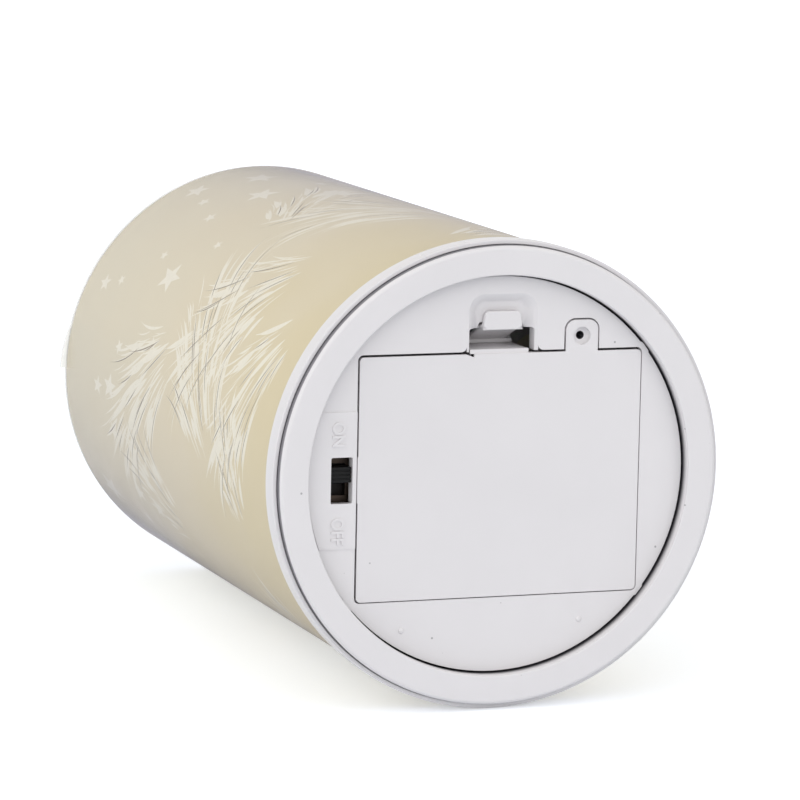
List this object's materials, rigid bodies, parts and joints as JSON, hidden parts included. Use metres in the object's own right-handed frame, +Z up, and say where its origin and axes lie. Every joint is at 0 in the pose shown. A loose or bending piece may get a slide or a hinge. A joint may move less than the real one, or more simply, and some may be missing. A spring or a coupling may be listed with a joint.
{
  "type": "rotating motion lamp",
  "caption": "Upright cylindrical battery table lamp: a printed clear shade over a turning inner drum, with a slide switch and a battery door in its foot.",
  "frame": {"origin": "centre of the foot face, on the surface that the lamp stands on", "axes": "+Z up the lamp's axis to its top cap; +X across the battery door, away from the switch; +Y from the door's latch to its hinge tabs"},
  "size_m": [0.1024, 0.1022, 0.172],
  "materials": {
    "housing_abs": "fine moulded satin",
    "cover_abs": "fine moulded satin",
    "collar_abs": "smooth moulded",
    "door_abs": "fine moulded satin",
    "tray_abs": "moulded",
    "clear_shade": "clear polished plastic",
    "clear_cap": "clear polished plastic",
    "printed_film": "printed film",
    "drum_film": "translucent printed film",
    "cell_sleeve": "plain shrink sleeve",
    "nickel_wire": "nickel-plated wire",
    "nickel_plate": "nickel-plated sheet",
    "switch_steel": "plated sheet",
    "phenolic": "pressed laminate",
    "black_pom": "moulded",
    "tinned_brass": "tinned",
    "circuit_board": "solder-resist lacquer",
    "white_board": "white solder-resist lacquer",
    "zinc_screw": "zinc plated",
    "motor_can": "drawn steel can",
    "bright_steel": "ground steel",
    "gear_pom": "moulded",
    "drum_abs": "moulded",
    "opal_tube": "frosted",
    "diode_lens": "clear epoxy lens",
    "lead_pvc": "wire insulation"
  },
  "bodies": {
    "root": {"base_housing": "housing_abs", "bottom_cover": "cover_abs", "shade_collar": "collar_abs", "outer_shade": "clear_shade", "printed_sleeve": "printed_film", "top_cap": "clear_cap", "battery_tray": "tray_abs", "battery_cells": "cell_sleeve", "contact_springs": "nickel_wire", "contact_plates": "nickel_plate", "switch_frame": "switch_steel", "switch_base": "phenolic", "switch_pins": "tinned_brass", "switch_board": "circuit_board", "switch_screws": "zinc_screw", "mechanism_deck": "tray_abs", "gear_motor": "motor_can", "idler_pin": "bright_steel", "pivot_pin": "bright_steel", "diffuser_tube": "opal_tube", "diffuser_cap": "collar_abs", "led_board": "white_board", "light_diodes": "diode_lens", "control_board": "circuit_board", "deck_screws": "zinc_screw", "wiring_leads": "lead_pvc"},
    "door": {"battery_door": "door_abs"},
    "latch": {"door_latch": "door_abs"},
    "knob": {"switch_knob": "black_pom"},
    "drum": {"drum_carrier": "drum_abs", "drum_sleeve": "drum_film", "drum_spider": "drum_abs"},
    "idler": {"idler_gear": "gear_pom"},
    "pinion": {"drive_pinion": "gear_pom", "motor_shaft": "bright_steel"}
  },
  "joints": [
    {"name": "door_hinge", "type": "hinge", "parent": "root", "child": "door", "pos_m": [0.00065, 0.02675, 0.00295], "axis": [1, 0, 0], "range_deg": [0, 75]},
    {"name": "latch_press", "type": "hinge", "parent": "door", "child": "latch", "pos_m": [0.00087, -0.0289, 0.0139], "axis": [1, 0, 0], "range_deg": [0, 7], "stiffness_Nm_per_rad": 0.05},
    {"name": "switch_slide", "type": "slide", "parent": "root", "child": "knob", "axis": [0, 1, 0], "range_m": [0, 0.003]},
    {"name": "drum_spin", "type": "hinge", "parent": "root", "child": "drum", "pos_m": [0, 0, 0.034], "axis": [0, 0, 1], "continuous": true},
    {"name": "idler_spin", "type": "hinge", "parent": "root", "child": "idler", "pos_m": [0.01373, 0.02532, 0.0324], "axis": [0, 0, 1], "continuous": true},
    {"name": "pinion_spin", "type": "hinge", "parent": "root", "child": "pinion", "pos_m": [0, 0.035, 0.0324], "axis": [0, 0, 1], "continuous": true}
  ],
  "couplings": [
    {"joint": "idler_spin", "follows": "drum_spin", "ratio": -5},
    {"joint": "pinion_spin", "follows": "drum_spin", "ratio": 16}
  ]
}
